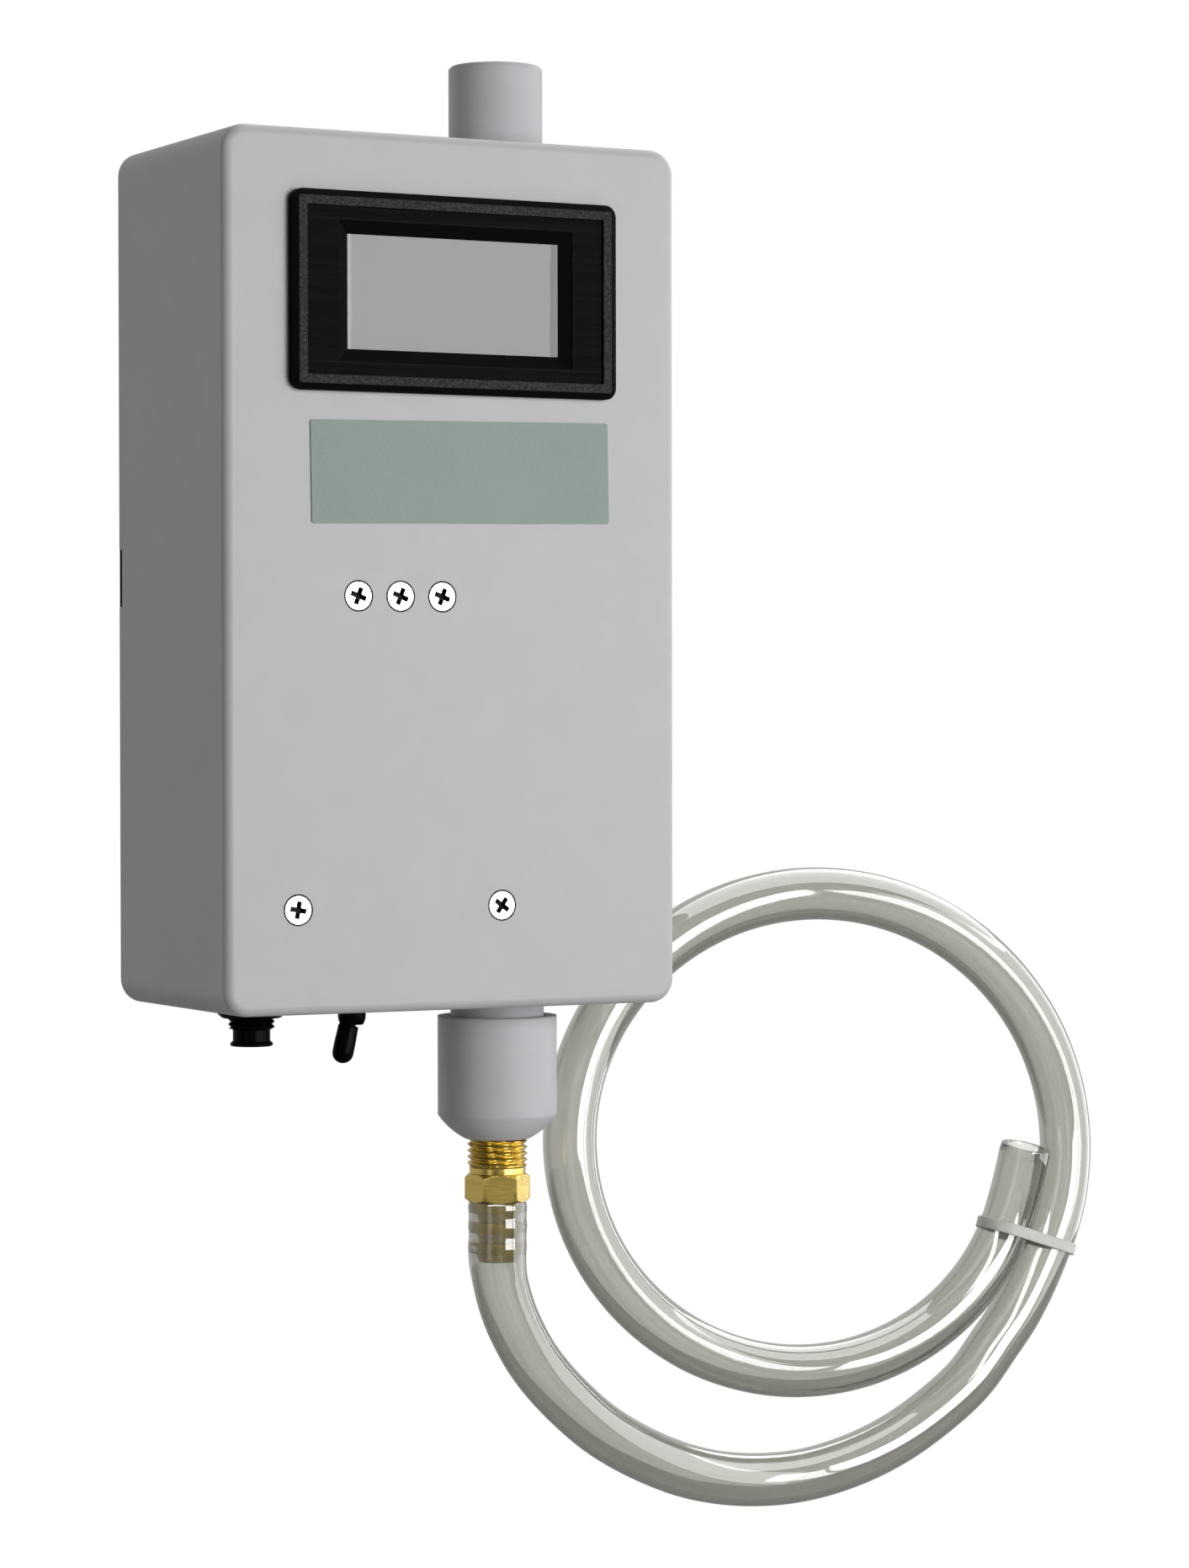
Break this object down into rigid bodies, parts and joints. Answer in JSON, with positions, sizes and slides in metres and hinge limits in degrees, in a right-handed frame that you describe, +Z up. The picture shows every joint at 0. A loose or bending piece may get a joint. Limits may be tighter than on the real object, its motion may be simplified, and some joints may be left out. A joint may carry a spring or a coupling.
{
  "type": "air flow meter with hose",
  "caption": "Wall-held flow meter: moulded case with panel display, pipe through it, brass hose barb and a clear hose coiled beside it.",
  "frame": {"origin": "middle of the flat back of the case, on the face of the rear lid and rim", "axes": "+Z up along the pipe towards its open top end, -Y out of the front with the display, +X to the right as seen from the front"},
  "size_m": [0.2555, 0.0626, 0.3381],
  "materials": {
    "case_grey": "fine texture",
    "lid_grey": "fine texture",
    "bezel_black": "satin",
    "fascia_dark": "brushed film",
    "display_grey": "satin",
    "strip_rubber": "matte",
    "housing_black": "matte",
    "board_green": "solder mask",
    "terminal_green": "moulded",
    "label_green": "matte tape",
    "nickel": "bright nickel plate",
    "zinc_steel": "zinc plate",
    "spacer_brass": "turned",
    "sensor_plastic": "moulded",
    "probe_dark": "moulded",
    "seal_rubber": "matte",
    "screen_white": "moulded",
    "pipe_grey": "satin",
    "fitting_brass": "turned, bright",
    "hose_clear": "clear, slightly green",
    "tie_natural": "milky",
    "jack_black": "satin",
    "contact_metal": "tin plate",
    "switch_red": "moulded",
    "lever_black": "satin",
    "parts_dark": "moulded",
    "connector_white": "moulded"
  },
  "bodies": {
    "meter": {"front_case": "case_grey", "rear_lid": "lid_grey", "lid_screws": "nickel", "meter_bezel": "bezel_black", "meter_fascia": "fascia_dark", "meter_display": "display_grey", "display_strips": "strip_rubber", "meter_housing": "housing_black", "meter_board": "board_green", "meter_terminals": "terminal_green", "meter_clips": "housing_black", "front_label": "label_green", "bracket_screws": "nickel", "bracket_nuts": "zinc_steel", "sensor_bracket": "zinc_steel", "sensor_body": "sensor_plastic", "sensor_lock_nut": "zinc_steel", "sensor_probe": "probe_dark", "probe_seal": "seal_rubber", "probe_board": "board_green", "flow_straightener": "screen_white", "outlet_pipe": "pipe_grey", "inlet_pipe": "pipe_grey", "pipe_cap": "pipe_grey", "hose_barb": "fitting_brass", "hose_lead": "hose_clear", "hose_coil": "hose_clear", "cable_tie": "tie_natural", "jack_body": "jack_black", "jack_nut": "jack_black", "jack_pin": "contact_metal", "jack_terminals": "contact_metal", "switch_body": "switch_red", "switch_bushing": "nickel", "switch_nut": "lever_black", "switch_pin": "contact_metal", "switch_terminals": "contact_metal", "board_screws": "nickel", "board_spacers": "spacer_brass", "board_rear_screws": "zinc_steel", "main_board": "board_green", "board_parts": "parts_dark", "board_connector": "connector_white"},
    "toggle": {"switch_lever": "lever_black"}
  },
  "joints": [
    {"name": "toggle_swing", "type": "hinge", "parent": "meter", "child": "toggle", "pos_m": [-0.0115, -0.03, -0.09695], "axis": [0, -1, 0], "range_deg": [0, 26]}
  ]
}
